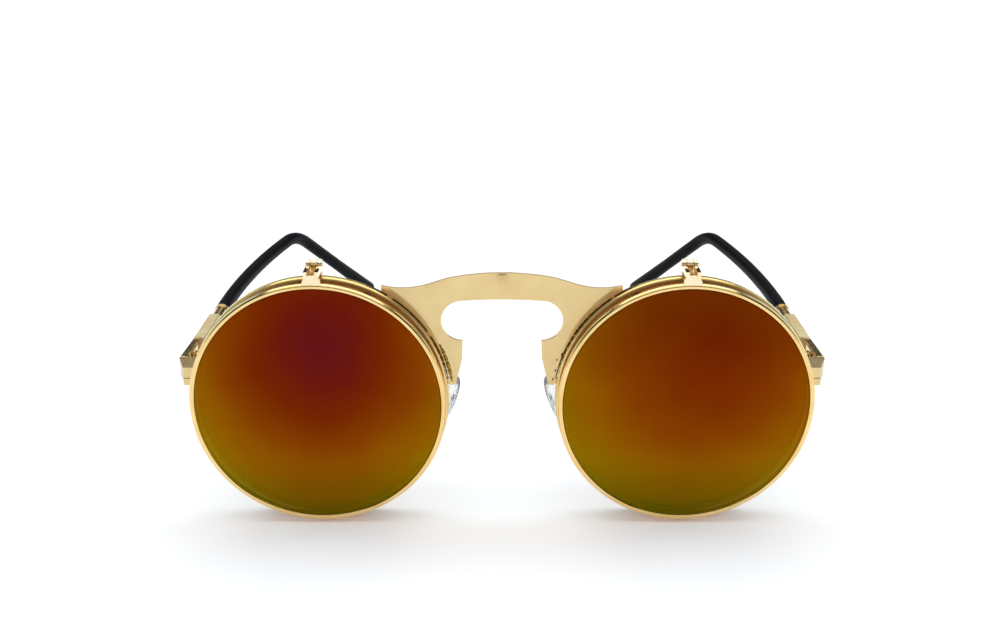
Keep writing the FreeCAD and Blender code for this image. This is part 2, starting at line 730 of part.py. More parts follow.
def temple_plate():
    plate = padded("TemplePlate", "YZ_Plane", [
        ("plate_y", "-plate_half"),
        ("barrel_y", "-plate_end_half"),
        ("barrel_y", "plate_end_half"),
        ("plate_y", "plate_half"),
    ], "plate_thick")
    return join_one(move(plate, "ring_x + plate_x", "0", "end_z"))


def temple_barrel():
    body = new_body("Barrel")
    bar_section = rounded("-barrel_in + rib_relief", "barrel_out", "-barrel_half + rib_relief",
                          "barrel_half - rib_relief", "rib_round", "rib_relief")
    raise_outline(body, "XZ_Plane", bar_section, "barrel_length")
    rib_section = rounded("-barrel_in", "barrel_out", "-barrel_half", "barrel_half",
                          "rib_round", "rib_relief")
    rib = raise_outline(body, "XZ_Plane", rib_section, "rib_thick")
    row = body.newObject("PartDesign::LinearPattern", "Ribs")
    row.Originals = [rib]
    row.Direction = (rib.Profile[0], ["N_Axis"])
    row.Reversed = True
    bind(row, Length="rib_pitch*(rib_count - 1)", Occurrences="rib_count")
    body.Tip = row
    return join_one(move(body, "temple_x", "barrel_y", "end_z"))


def temple_ferrule():
    bore = "core_radius + solder_gap"
    collar = turned("Ferrule", [
        (bore, "0"),
        ("ferrule_radius", "0"),
        ("ferrule_radius", "ferrule_length - flange_thick"),
        ("flange_radius", "ferrule_length - flange_thick"),
        ("flange_radius", "ferrule_length"),
        (bore, "ferrule_length"),
    ])
    return join_one(move(collar, "temple_x", "ferrule_y", "end_z"))


def heading(inward, down):
    """A direction that runs back, turned inwards and down by these angles."""
    level = math.cos(math.radians(down))
    return Vector(-math.sin(math.radians(inward)) * level, math.cos(math.radians(inward)) * level,
                  -math.sin(math.radians(down)))


def temple_route(start_y, hook):
    """The sleeve's middle line: straight, inward bow, ear bend, then the hook's length."""
    start = spot("temple_x", start_y, "end_z")
    bow = spot("temple_x", "bow_start", "end_z")
    back = Vector(0, 1, 0)
    turned_in = heading(value("bow_angle"), 0)
    down = heading(value("hook_in_angle"), value("hook_down_angle"))
    bow_edge, bend = arc_between(bow, back, turned_in, value("bow_radius"))
    bend_edge, knee = arc_between(bend, turned_in, down, value("ear_radius"))
    straight_edge = Part.LineSegment(start, bow).toShape()
    hook_edge = Part.LineSegment(knee, knee + down * hook).toShape()
    return [straight_edge, bow_edge, bend_edge, hook_edge]


def paddle(start, along, length):
    """The widening, rounded end of the sleeve."""
    upward = (Vector(0, 0, 1) - along * along.z).normalize()
    frame = Rotation(upward, Vector(), along, "XZY")
    tall = value("paddle_half")
    wide = value("paddle_side")
    nose = value("paddle_round")
    root = Part.Circle(Vector(), Vector(0, 0, 1), value("sleeve_radius")).toShape()
    root.Placement = Placement(start, frame)
    brim = start + along * (length - nose)
    rim_line = Part.Ellipse(Vector(), tall, wide).toShape()
    rim_line.Placement = Placement(brim, frame)
    swell = Part.makeLoft([Part.Wire(root), Part.Wire(rim_line)], True, True)
    stretch = FreeCAD.Matrix()
    stretch.scale(tall, wide, nose)
    cap = Part.makeSphere(1, Vector(), Vector(0, 0, 1), 0, 90, 360).transformGeometry(stretch)
    cap.Placement = Placement(brim, frame)
    return swell.fuse(cap)


def sleeve_shape(hook):
    straight, bow, bend, down = temple_route("sleeve_y", hook - value("paddle_length"))
    along = heading(value("hook_in_angle"), value("hook_down_angle"))
    end = down.valueAt(down.LastParameter)
    ear = value("sleeve_radius")
    full = value("sleeve_full")
    pieces = [taper(bow, full, ear), tube([bend, down], ear), paddle(end, along, value("paddle_length"))]
    return taper(straight, value("sleeve_start"), full).multiFuse(pieces)


def hook_length():
    """The hook's length that brings the sleeve's end down to the table."""
    trial = value("paddle_length + ear_radius")
    clear = sleeve_shape(trial).optimalBoundingBox().ZMin
    return trial + clear / math.sin(math.radians(value("hook_down_angle")))


def temple_core(hook):
    return solid(tube(temple_route("ferrule_y", hook - value("core_short")), value("core_radius")))


def temple_sleeve(hook):
    bore = tube(temple_route("ferrule_y", hook - value("core_short")), value("core_radius + run_gap"))
    return solid(sleeve_shape(hook).cut(bore).removeSplitter())


# Nose pad: drawn with its back face on X = 0, its front towards -X and its height along Z

def pad_turn():
    return (Rotation(Vector(0, 0, 1), -value("pad_splay_angle"))
            * Rotation(Vector(0, 1, 0), -value("pad_slant_angle")))


def seat_pad_piece(item):
    item.Placement = Placement(spot("pad_x", "pad_y", "pad_z"), pad_turn())
    return item


def pad_rod(radius, half):
    return rod("y", "pad_pin_out", f"-({half})", "0", radius, f"2*({half})")


def nose_pad():
    dome = doc.addObject("Part::Ellipsoid", "Dome")
    bind(dome, Radius1="pad_half_height", Radius2="pad_thick", Radius3="pad_half_width")
    front = block("-2*pad_thick", "0", "-2*pad_half_width", "2*pad_half_width",
                  "-2*pad_half_height", "2*pad_half_height")
    cushion = overlap(dome, front)
    lug = block("-pad_thick/2", "pad_pin_out", "-lug_half", "lug_half", "-lug_radius", "lug_radius")
    eye = pad_rod("lug_radius", "lug_half")
    bore = pad_rod("pad_pin_radius + run_gap", "2*lug_half")
    return seat_pad_piece(carve(join(cushion, lug, eye), bore))


def nose_pad_box():
    inside = "(lug_half + box_gap)"
    back = "pad_pin_out + lug_radius + box_gap"
    shell = block("box_setback", f"{back} + box_wall", f"-({inside} + box_wall)", f"{inside} + box_wall",
                  "-box_half", "box_half")
    hollow = block("0", back, f"-{inside}", inside, "-2*box_half", "2*box_half")
    bore = pad_rod("pad_pin_radius + solder_gap", "2*lug_half + 2*box_wall")
    return seat_pad_piece(carve(shell, hollow, bore))


def nose_pad_screw():
    half = "lug_half + box_gap + box_wall"
    shank = pad_rod("pad_pin_radius", half)
    head = rod("y", "pad_pin_out", half, "0", "pad_pin_head", "pad_pin_head_thick")
    return seat_pad_piece(join(shank, head))


def nose_pad_arm():
    radius = value("rim_radius - rim_wall/2")
    rise = value("arm_rise")
    across = math.sqrt(radius ** 2 - rise ** 2)
    root = Vector(value("ring_x") - across, value("rim_depth/2"), value("rim_radius") + rise)
    outward = pad_turn().multVec(Vector(1, 0, 0))
    clip = value("pad_pin_out + lug_radius + box_gap + box_wall")
    seat = spot("pad_x", "pad_y", "pad_z") + outward * clip
    points = [root, root + Vector(0, value("arm_back"), 0), spot("loop_x", "loop_y", "loop_z"),
              seat + outward * value("arm_out"), seat]
    return solid(tube(bent(points, value("arm_bend")), value("arm_radius")))


# Assembly

hook = hook_length()
RIGHT_PIECES = {
    "base_rim": base_rim(),
    "base_lens": base_lens(),
    "rim_lock_block": rim_lock_block(),
    "rim_lock_screw": rim_lock_screw(),
    "endpiece": endpiece(),
    "temple_hinge_front": temple_hinge_front(),
    "temple_hinge_screw": temple_hinge_screw(),
    "nose_pad_arm": nose_pad_arm(),
    "nose_pad_box": nose_pad_box(),
    "nose_pad": nose_pad(),
    "nose_pad_screw": nose_pad_screw(),
    "flip_hinge_base": flip_hinge_base(),
    "flip_hinge_pin": flip_hinge_pin(),
    "flip_yoke": flip_yoke(),
    "flip_rim": flip_rim(),
    "flip_lens": flip_lens(),
    "temple_hinge_rear": temple_hinge_rear(),
    "temple_plate": temple_plate(),
    "temple_barrel": temple_barrel(),
    "temple_ferrule": temple_ferrule(),
    "temple_core": temple_core(hook),
    "temple_sleeve": temple_sleeve(hook),
}
sub_parts = [bridge_plate()]
sub_parts[0].Label = "bridge_plate"
for name, piece in RIGHT_PIECES.items():
    piece.Label = f"right_{name}"
    twin = doc.addObject("Part::Mirroring", "Twin")
    twin.Source = piece
    twin.Normal = Vector(1, 0, 0)
    twin.Label = f"left_{name}"
    sub_parts += [piece, twin]
doc.recompute()

# The origin lies under the middle of the whole part.
boxes = [piece.Shape.optimalBoundingBox() for piece in sub_parts]
middle = (min(box.YMin for box in boxes) + max(box.YMax for box in boxes)) / 2
dims.set(f"B{NAMES.index('front_y') + 1}", f"{-middle:.4f}")
doc.recompute()
for piece in [sub_parts[0], *RIGHT_PIECES.values()]:
    bind(piece, Placement_Base_y=f"front_y + {piece.Placement.Base.y}")
doc.recompute()

for item in doc.Objects:
    if {"Invalid", "Error"} & set(item.State):
        raise RuntimeError(f"{item.Label} failed: {item.State}")
os.makedirs("parts", exist_ok=True)
for piece in sub_parts:
    if piece.Shape.isNull() or not piece.Shape.isValid() or not piece.Shape.Solids:
        raise RuntimeError(f"{piece.Label} has no valid solid")
for piece in sub_parts:
    piece.Shape.exportStep(f"parts/{piece.Label}.step")
print(len(sub_parts), "sub-parts, base rim plane at Y", round(-middle, 3), "hook", round(hook, 2))
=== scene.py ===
import math
import bmesh
import bpy
from mathutils import Matrix, Vector


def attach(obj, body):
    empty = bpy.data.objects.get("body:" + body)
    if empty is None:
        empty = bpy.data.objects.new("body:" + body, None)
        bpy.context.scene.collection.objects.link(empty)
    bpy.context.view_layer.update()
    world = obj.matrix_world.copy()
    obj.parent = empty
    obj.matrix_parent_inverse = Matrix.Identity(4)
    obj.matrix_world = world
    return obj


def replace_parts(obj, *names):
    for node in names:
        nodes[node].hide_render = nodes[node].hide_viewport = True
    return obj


# Round flip-up sunglasses on a white table. Metres, X to the right, Y backwards, Z up.

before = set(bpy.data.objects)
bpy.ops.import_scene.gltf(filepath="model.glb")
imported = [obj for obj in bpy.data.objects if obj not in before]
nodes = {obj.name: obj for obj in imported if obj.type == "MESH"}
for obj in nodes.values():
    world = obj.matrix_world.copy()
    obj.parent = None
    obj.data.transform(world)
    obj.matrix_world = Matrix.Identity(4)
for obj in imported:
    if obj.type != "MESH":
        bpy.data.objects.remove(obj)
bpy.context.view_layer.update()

MM = 0.001
SIDES = {"left": -1, "right": 1}

# Places taken from the CAD model, in millimetres and degrees
RIM_X = 37.5
RIM_Z = 26.5
RIM_RADIUS = 26.5
BASE_HALF_DEPTH = 0.9
SLIT_Z = 31.075
SLIT_WIDTH = 0.15
FRONT_Y = -68.281
PLATE_FACE_Y = FRONT_Y - 0.45
FLIP_Y = FRONT_Y - 4.9
FLIP_Z = RIM_Z + 0.4
FLIP_RADIUS = 26.2
FLIP_HALF_DEPTH = 0.8
LENS_RADIUS = 25.05
PAD_SPOT = (13.4, FRONT_Y + 9.4, 20.2)
PAD_SPLAY = 30
PAD_SLANT = 34
PAD_HALF_HEIGHT = 7.5
PAD_HALF_WIDTH = 4.1
PAD_PIN_OUT = 1.05


def srgb(red, green, blue):
    """A colour as it is seen on screen, 0 to 255, turned into the linear colour that shaders use."""
    def linear(level):
        level /= 255
        return level / 12.92 if level <= 0.04045 else ((level + 0.055) / 1.055) ** 2.4

    return (linear(red), linear(green), linear(blue), 1.0)


# Node building blocks

def feed(tree, socket, amount):
    """Links another node's output to the socket, or sets a plain value on it."""
    if isinstance(amount, bpy.types.NodeSocket):
        tree.links.new(amount, socket)
    else:
        socket.default_value = amount


def node(tree, kind, inputs=None, **settings):
    """A node of the tree. An input is a plain value, or another node's output to link."""
    item = tree.nodes.new(kind)
    for key, setting in settings.items():
        setattr(item, key, setting)
    for key, amount in (inputs or {}).items():
        feed(tree, item.inputs[key], amount)
    return item


def new_material(name):
    """A material with a plain Principled shader, and its object coordinates."""
    material = bpy.data.materials.new(name)
    material.use_nodes = True
    tree = material.node_tree
    shader = tree.nodes["Principled BSDF"]
    place = node(tree, "ShaderNodeTexCoord").outputs["Object"]
    return material, tree, shader, place


def set_inputs(tree, shader, **inputs):
    """Values and links for the shader's inputs; Base_Color stands for Base Color."""
    for key, amount in inputs.items():
        feed(tree, shader.inputs[key.replace("_", " ")], amount)


def noise(tree, place, scale, detail=3.0):
    """Soft noise, with its scale in waves to the metre."""
    inputs = {"Vector": place, "Scale": scale, "Detail": detail}
    return node(tree, "ShaderNodeTexNoise", inputs).outputs["Fac"]


def stretched(tree, place, scale):
    """Coordinates that draw a noise out along each axis with a scale below 1."""
    return node(tree, "ShaderNodeMapping", {"Vector": place, "Scale": scale}).outputs["Vector"]


def ramp(tree, factor, stops):
    """Colours by factor, from (position, colour) stops."""
    item = node(tree, "ShaderNodeValToRGB", {"Fac": factor})
    elements = item.color_ramp.elements
    while len(elements) < len(stops):
        elements.new(1.0)
    for element, (position, colour) in zip(elements, stops):
        element.position = position
        element.color = colour
    return item.outputs["Color"]


def grey_ramp(tree, factor, stops):
    """Greys by factor, from (position, level) stops."""
    return ramp(tree, factor, [(position, (level, level, level, 1.0)) for position, level in stops])


def remap(tree, amount, low, high, start=0.0, end=1.0):
    """The amount's stretch from start to end, laid on low to high."""
    inputs = {"Value": amount, "From Min": start, "From Max": end, "To Min": low, "To Max": high}
    return node(tree, "ShaderNodeMapRange", inputs).outputs["Result"]


def bump(tree, height, strength, depth):
    """Normals of a bumpy surface, with its depth in millimetres."""
    inputs = {"Height": height, "Strength": strength, "Distance": depth * MM}
    return node(tree, "ShaderNodeBump", inputs).outputs["Normal"]


def mixed(tree, factor, first, second, **settings):
    """Two colours mixed by the factor."""
    inputs = {"Factor": factor, "A": first, "B": second}
    return node(tree, "ShaderNodeMix", inputs, data_type="RGBA", **settings).outputs["Result"]


def calculate(tree, operation, first, second):
    return node(tree, "ShaderNodeMath", {0: first, 1: second}, operation=operation).outputs["Value"]


def vector_math(tree, operation, first, second):
    return node(tree, "ShaderNodeVectorMath", {0: first, 1: second}, operation=operation).outputs["Vector"]


def distance_from(tree, place, point=(0, 0, 0)):
    return node(tree, "ShaderNodeVectorMath", {0: place, 1: point}, operation="DISTANCE").outputs["Value"]


def height_of(tree, place):
    return node(tree, "ShaderNodeSeparateXYZ", {"Vector": place}).outputs["Z"]


# Materials

# Levels between which most of a noise lies
NOISE_LOW = 0.3
NOISE_HIGH = 0.7
FINE_DETAIL = 4
SMEAR_SCALE = 260
GRAIN_DEPTH = 0.02
# How far the grain of gold lowers and raises its roughness
GLOSSIER = 0.05
DULLER = 0.06


def noise_range(tree, amount, low, high):
    """A noise laid on low to high."""
    return remap(tree, amount, low, high, NOISE_LOW, NOISE_HIGH)


def noise_colour(tree, amount, low, high):
    """A noise turned into colours between the two."""
    return ramp(tree, amount, [(NOISE_LOW, low), (NOISE_HIGH, high)])


def gold(name, pale, deep, rough, brush=(1, 1, 1), metallic=1.0):
    """Polished gold plate: slow shifts of colour, and a fine grain in its gloss."""
    material, tree, shader, place = new_material(name)
    colour = noise_colour(tree, noise(tree, place, scale=160), deep, pale)
    grain = noise(tree, stretched(tree, place, brush), scale=2400, detail=FINE_DETAIL)
    set_inputs(tree, shader, Metallic=metallic, Base_Color=colour,
               Roughness=noise_range(tree, grain, rough - GLOSSIER, rough + DULLER),
               Normal=bump(tree, grain, strength=0.05, depth=GRAIN_DEPTH))
    return material


def steel(name):
    """Plain steel of the screws and of the plates inside the pads."""
    material, tree, shader, place = new_material(name)
    grain = noise(tree, place, scale=3200, detail=FINE_DETAIL)
    set_inputs(tree, shader, Metallic=1.0,
               Base_Color=noise_colour(tree, grain, srgb(176, 172, 164), srgb(214, 210, 202)),
               Roughness=remap(tree, grain, low=0.22, high=0.38),
               Normal=bump(tree, grain, strength=0.1, depth=GRAIN_DEPTH))
    return material


# Mirror coating by distance from its reddest point, where 1 stands for COATING_REACH lens radii
COATING = [
    (0.00, srgb(87, 7, 24)),
    (0.22, srgb(99, 15, 12)),
    (0.38, srgb(110, 33, 1)),
    (0.56, srgb(127, 59, 1)),
    (0.72, srgb(138, 87, 1)),
    (0.86, srgb(135, 106, 1)),
    (1.00, srgb(112, 116, 1)),
]
COATING_REACH = 1.6
COATING_UNEVEN = 0.03
# Brightness of the coating by height on the lens, and the height where its top shade is reached. The low
# stops are painted shade: they darken the lens's lower part as the table's shadow would look in its
# reflection.
LOWER_PAINTED_SHADE = [(0.0, 0.64), (0.26, 1.0), (0.6, 1.0)]
TOP_SHADE_AT = 0.9
# The front face is part of a ball with its middle behind the lens: the ball's radius, and how far the face
# stands out before the middle of the rim
LENS_CURVE = 260
LENS_BULGE = 1.989
# Depths below the front face down to which the coating counts in full, and at which it is gone
COATING_FULL = 0.5
COATING_GONE = 1.0
# Share of light that the coating stops, and the glass's own tint
COATING_COVER = 0.9
GLASS_TINT = srgb(176, 88, 20)


def mirror_lens(name, centre_x, red, tightness, top):
    """The mirrored flip lens. red is the coating's reddest point in lens radii from the lens's middle,
    tightness narrows its colours from side to side, and top is the brightness of its upper edge."""
    material, tree, shader, place = new_material(name)
    heart = tuple(MM * (middle + away * LENS_RADIUS)
                  for middle, away in zip((centre_x, FLIP_Y, FLIP_Z), red))
    spread = 1 / (LENS_RADIUS * MM * COATING_REACH)
    offset = vector_math(tree, "SUBTRACT", place, heart)
    scaled = vector_math(tree, "MULTIPLY", offset, (tightness * spread, spread, spread))
    cloud = noise(tree, place, scale=90, detail=2)
    uneven = noise_range(tree, cloud, -COATING_UNEVEN, COATING_UNEVEN)
    coating = ramp(tree, calculate(tree, "ADD", distance_from(tree, scaled), uneven), COATING)
    level = remap(tree, height_of(tree, place), 0.0, 1.0,
                  MM * (FLIP_Z - LENS_RADIUS), MM * (FLIP_Z + LENS_RADIUS))
    # Painted shade: the coating darkened towards the bottom as by the reflected shadow of the table, and
    # towards the upper edge by top
    shade = grey_ramp(tree, level, [*LOWER_PAINTED_SHADE, (TOP_SHADE_AT, top)])
    colour = mixed(tree, 1.0, coating, shade, blend_type="MULTIPLY")
    ball = (MM * centre_x, MM * (FLIP_Y - LENS_BULGE + LENS_CURVE), MM * FLIP_Z)
    reach = distance_from(tree, place, ball)
    face = (MM * (LENS_CURVE - COATING_GONE), MM * (LENS_CURVE - COATING_FULL))
    coated = remap(tree, reach, 0.0, 1.0, *face)
    smear = noise_range(tree, noise(tree, place, SMEAR_SCALE, FINE_DETAIL), low=0.08, high=0.16)
    set_inputs(tree, shader, Base_Color=mixed(tree, coated, GLASS_TINT, colour), Metallic=coated,
               Roughness=calculate(tree, "MULTIPLY", smear, coated), IOR=1.02,
               Transmission_Weight=remap(tree, reach, 1.0, 0.0, *face),
               Alpha=remap(tree, reach, 1.0, COATING_COVER, *face))
    return material


def tinted_lens(name):
    """The plain tinted lens behind, darker towards its top."""
    material, tree, shader, place = new_material(name)
    level = remap(tree, height_of(tree, place), 0.0, 1.0, 0.0, 2 * RIM_RADIUS * MM)
    colour = ramp(tree, level, [(0.1, srgb(204, 126, 40)), (0.9, srgb(176, 98, 30))])
    smear = noise(tree, place, SMEAR_SCALE, FINE_DETAIL)
    set_inputs(tree, shader, Base_Color=colour, Roughness=noise_range(tree, smear, low=0.0, high=0.04),
               IOR=1.5, Transmission_Weight=1.0)
    return material


def sleeve_plastic(name):
    """Black plastic with a fine grain."""
    material, tree, shader, place = new_material(name)
    grain = noise(tree, place, scale=5200, detail=FINE_DETAIL)
    cloud = noise(tree, place, scale=220)
    set_inputs(tree, shader, Base_Color=noise_colour(tree, cloud, srgb(5, 5, 8), srgb(11, 12, 15)),
               Roughness=noise_range(tree, grain, low=0.3, high=0.44), Specular_IOR_Level=0.03,
               Normal=bump(tree, grain, strength=0.2, depth=GRAIN_DEPTH))
    return material


def silicone(name):
    """Clear silicone with a slightly uneven skin."""
    material, tree, shader, place = new_material(name)
    cloud = noise(tree, place, scale=700)
    skin = noise(tree, place, scale=2600)
    set_inputs(tree, shader, IOR=1.41, Transmission_Weight=0.95,
               Base_Color=noise_colour(tree, cloud, srgb(246, 247, 247), srgb(252, 252, 251)),
               Roughness=noise_range(tree, cloud, low=0.03, high=0.09),
               Normal=bump(tree, skin, strength=0.12, depth=0.03))
    return material


PALE_GOLD = srgb(248, 221, 168)
WARM_GOLD = srgb(226, 184, 104)
WHITE_GOLD = srgb(255, 242, 212)
rim_gold = gold("rim_gold", srgb(252, 220, 156), srgb(244, 205, 130), rough=0.14)
base_gold = gold("base_gold", srgb(248, 221, 150), srgb(238, 204, 124), rough=0.14, metallic=0.7)
bright_gold = gold("bright_gold", WHITE_GOLD, PALE_GOLD, rough=0.08)
ribbed_gold = gold("ribbed_gold", srgb(253, 245, 214), srgb(245, 228, 182), rough=0.4)
plate_gold = gold("plate_gold", srgb(249, 221, 160), srgb(241, 209, 147), rough=0.1,
                  brush=(0.06, 1, 1), metallic=0.5)
hinge_gold = gold("hinge_gold", PALE_GOLD, WARM_GOLD, rough=0.16)
satin_gold = gold("satin_gold", WHITE_GOLD, PALE_GOLD, rough=0.3)
end_gold = gold("end_gold", srgb(232, 206, 152), srgb(216, 186, 126), rough=0.18)
solder_gold = gold("solder_gold", srgb(196, 164, 80), srgb(112, 86, 28), rough=0.3)
# Dark solder. Part of its darkness is painted shade for the shadowed gaps between the bridge plate and the
# rims.
solder_dark = gold("solder_dark", srgb(112, 86, 34), srgb(64, 46, 14), rough=0.34)
screw_steel = steel("screw_steel")
amber_lens = tinted_lens("amber_lens")
black_plastic = sleeve_plastic("black_plastic")
clear_silicone = silicone("clear_silicone")

# Materials of the CAD nodes. The others are hinge gold, and the rims and pads are replaced further down.
FINISH = {
    "bridge_plate": plate_gold,
    "endpiece": end_gold,
    "rim_lock_block": end_gold,
    "base_lens": amber_lens,
    "flip_hinge_base": satin_gold,
    "flip_yoke": bright_gold,
    "flip_hinge_pin": bright_gold,
    "temple_barrel": ribbed_gold,
    "temple_sleeve": black_plastic,
    "temple_core": screw_steel,
    "rim_lock_screw": screw_steel,
    "nose_pad_screw": screw_steel,
}
COATED_LENS = {
    "left_flip_lens": mirror_lens("left_mirror", -RIM_X, red=(0.05, 0.0, 0.52), tightness=1.1, top=1.0),
    "right_flip_lens": mirror_lens("right_mirror", RIM_X, red=(0.15, 0.5, 0.45), tightness=0.95, top=0.76),
}


def paint(item, material):
    item.data.materials.clear()
    item.data.materials.append(material)


# Width of the softened edges of the metal nodes, in millimetres
EDGE_WIDTH = {
    "bridge_plate": 0.1,
    "flip_yoke": 0.08,
    "flip_hinge_base": 0.08,
    "flip_hinge_pin": 0.08,
    "endpiece": 0.12,
    "rim_lock_block": 0.1,
    "temple_hinge_front": 0.08,
    "temple_hinge_rear": 0.08,
    "temple_hinge_screw": 0.06,
    "temple_plate": 0.15,
    "temple_barrel": 0.2,
    "temple_ferrule": 0.12,
    "nose_pad_box": 0.06,
    "nose_pad_screw": 0.04,
}
EDGE_SEGMENTS = 3
SHARP_ANGLE = math.radians(30)
JOIN_DISTANCE = 0.001


def joined_faces():
    """A modifier's node group that joins a mesh's separate faces and smooths all but sharp edges."""
    group = bpy.data.node_groups.new("joined_faces", "GeometryNodeTree")
    group.interface.new_socket("Geometry", in_out="INPUT", socket_type="NodeSocketGeometry")
    group.interface.new_socket("Geometry", in_out="OUTPUT", socket_type="NodeSocketGeometry")
    came = node(group, "NodeGroupInput").outputs["Geometry"]
    merged = node(group, "GeometryNodeMergeByDistance", {"Geometry": came, "Distance": JOIN_DISTANCE * MM})
    plain = node(group, "GeometryNodeRemoveAttribute", {
        "Geometry": merged.outputs["Geometry"], "Name": "custom_normal"})
    smooth = node(group, "GeometryNodeSetShadeSmooth", {
        "Geometry": plain.outputs["Geometry"], "Shade Smooth": True}, domain="FACE")
    angle = node(group, "GeometryNodeInputMeshEdgeAngle").outputs["Unsigned Angle"]
    sharp = node(group, "FunctionNodeCompare", {"A": angle, "B": SHARP_ANGLE}, operation="GREATER_THAN")
    edged = node(group, "GeometryNodeSetShadeSmooth", {
        "Geometry": smooth.outputs["Geometry"],
        "Selection": sharp.outputs["Result"],
        "Shade Smooth": False}, domain="EDGE")
    node(group, "NodeGroupOutput", {"Geometry": edged.outputs["Geometry"]})
    return group


JOINED_FACES = joined_faces()


def soften_edges(item, width):
    item.modifiers.new("join", "NODES").node_group = JOINED_FACES
    edge = item.modifiers.new("edge", "BEVEL")
    edge.limit_method = "ANGLE"
    edge.angle_limit = SHARP_ANGLE
    edge.width = width * MM
    edge.segments = EDGE_SEGMENTS
    edge.harden_normals = True


for name, item in nodes.items():
    first, _, rest = name.partition("_")
    kind = rest if first in SIDES else name
    paint(item, COATED_LENS.get(name) or FINISH.get(kind, hinge_gold))
    if kind in EDGE_WIDTH:
        soften_edges(item, EDGE_WIDTH[kind])


# Shape building blocks

def add_object(name, data, material, body):
    item = bpy.data.objects.new(name, data)
    bpy.context.scene.collection.objects.link(item)
    paint(item, material)
    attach(item, body)
    return item


def on_side(side):
    """From millimetres on the right side to metres on the side named."""
    return Matrix.Diagonal((SIDES[side] * MM, MM, MM, 1))


def arc(x, y, radius, start, end, steps):
    """Points of an arc round (x, y), from one angle to the other in degrees."""
    turns = [math.radians(start + (end - start) * step / steps) for step in range(steps + 1)]
    return [(x + radius * math.cos(turn), y + radius * math.sin(turn)) for turn in turns]


def lathe_rings(shell, rings):
    """Faces between neighbouring rings of vertices."""
    for inner, outer in zip(rings, rings[1:]):
        for index in range(len(inner)):
            after = (index + 1) % len(inner)
            shell.faces.new((inner[index], inner[after], outer[after], outer[index]))


def finished_mesh(name, shell, matrix):
    """A smooth mesh from a bmesh, placed and with its faces outwards."""
    bmesh.ops.transform(shell, matrix=matrix, verts=shell.verts)
    bmesh.ops.recalc_face_normals(shell, faces=shell.faces)
    mesh = bpy.data.meshes.new(name)
    shell.to_mesh(mesh)
    shell.free()
    for face in mesh.polygons:
        face.use_smooth = True
    return mesh


# Nose pads: a clear crowned pad with a stiffening plate and its lug, drawn as in the CAD model
# with the back face on X = 0, the front towards -X and the height along Z

# Section of the pad from the middle of its front round the edge to the middle of its back:
# share of the outline and place along X in millimetres
PAD_SECTION = [
    (0.18, -1.68), (0.38, -1.60), (0.56, -1.46), (0.72, -1.26), (0.85, -1.02), (0.94, -0.76),
    (0.99, -0.52), (1.00, -0.36), (0.98, -0.17), (0.93, -0.05), (0.84, 0.0), (0.55, 0.02), (0.25, 0.02),
]
PAD_CROWN_X = -1.7
PAD_BACK_X = 0.02
PAD_TURNS = 48
PAD_TAPER = 0.12


def pad_place(side):
    """From the pad's own drawing to its place in the part."""
    splay = Matrix.Rotation(math.radians(-PAD_SPLAY), 4, "Z")
    slant = Matrix.Rotation(math.radians(-PAD_SLANT), 4, "Y")
    turn = splay @ slant
    seat = Matrix.Translation(Vector(PAD_SPOT) * MM) @ turn @ Matrix.Scale(MM, 4)
    return Matrix.Diagonal((SIDES[side], 1, 1, 1)) @ seat


def pad_outline(turn):
    """The pad's oval, narrower towards its top."""
    rise = math.sin(turn)
    width = PAD_HALF_WIDTH * (1 - PAD_TAPER * (rise + 1) / 2)
    return width * math.cos(turn), PAD_HALF_HEIGHT * rise


def pad_mesh(name, side):
    """The pad's section carried round its outline, and closed at the middles of its front and back."""
    shell = bmesh.new()
    rings = []
    for share, x in PAD_SECTION:
        ring = []
        for step in range(PAD_TURNS):
            y, z = pad_outline(2 * math.pi * step / PAD_TURNS)
            ring.append(shell.verts.new((x, y * share, z * share)))
        rings.append(ring)
    lathe_rings(shell, rings)
    for ring, x in ((rings[0], PAD_CROWN_X), (rings[-1], PAD_BACK_X)):
        middle = shell.verts.new((x, 0, 0))
        for index in range(PAD_TURNS):
            shell.faces.new((ring[index], ring[(index + 1) % PAD_TURNS], middle))
    return finished_mesh(name, shell, pad_place(side))


PLATE_EDGE = 0.06
PLATE_EDGE_STEPS = 2


def loop(curve, points):
    """A closed run of the flat curve through the points."""
    spline = curve.splines.new("POLY")
    spline.points.add(len(points) - 1)
    for point, (x, y) in zip(spline.points, points):
        point.co = (x, y, 0, 1)
    spline.use_cyclic_u = True


def flat_plate(name, loops, half_thick, matrix):
    """A plate cut from the outer loop, with holes at the others and softened edges."""
    curve = bpy.data.curves.new(name, "CURVE")
    curve.dimensions = "2D"
    curve.fill_mode = "BOTH"
    for points in loops:
        loop(curve, points)
    curve.extrude = half_thick - PLATE_EDGE
    curve.bevel_depth = PLATE_EDGE
    curve.bevel_resolution = PLATE_EDGE_STEPS
    curve.offset = -PLATE_EDGE
    maker = bpy.data.objects.new(name, curve)
    bpy.context.scene.collection.objects.link(maker)
    bpy.context.view_layer.update()
    mesh = bpy.data.meshes.new_from_object(maker.evaluated_get(bpy.context.evaluated_depsgraph_get()))
    bpy.data.objects.remove(maker)
    bpy.data.curves.remove(curve)
    mesh.transform(matrix)
    if matrix.determinant() < 0:
        mesh.flip_normals()
    return mesh


# The stiffening plate with its two holes, and the lug with the hole for the pin
STIFFENER_X = -0.35
STIFFENER_HALF = 2.2
STIFFENER_HALF_THICK = 0.18
STIFFENER_RADIUS = 1.2
STIFFENER_HOLE = 0.6
STIFFENER_STEPS = 12
LUG_HALF_THICK = 0.45
LUG_RADIUS = 0.7
LUG_HOLE = 0.35
LUG_STEPS = 16
HOLE_STEPS = 24


def hole(x, y, radius):
    """Points once round (x, y)."""
    return arc(x, y, radius, 0, 360, HOLE_STEPS)[:-1]


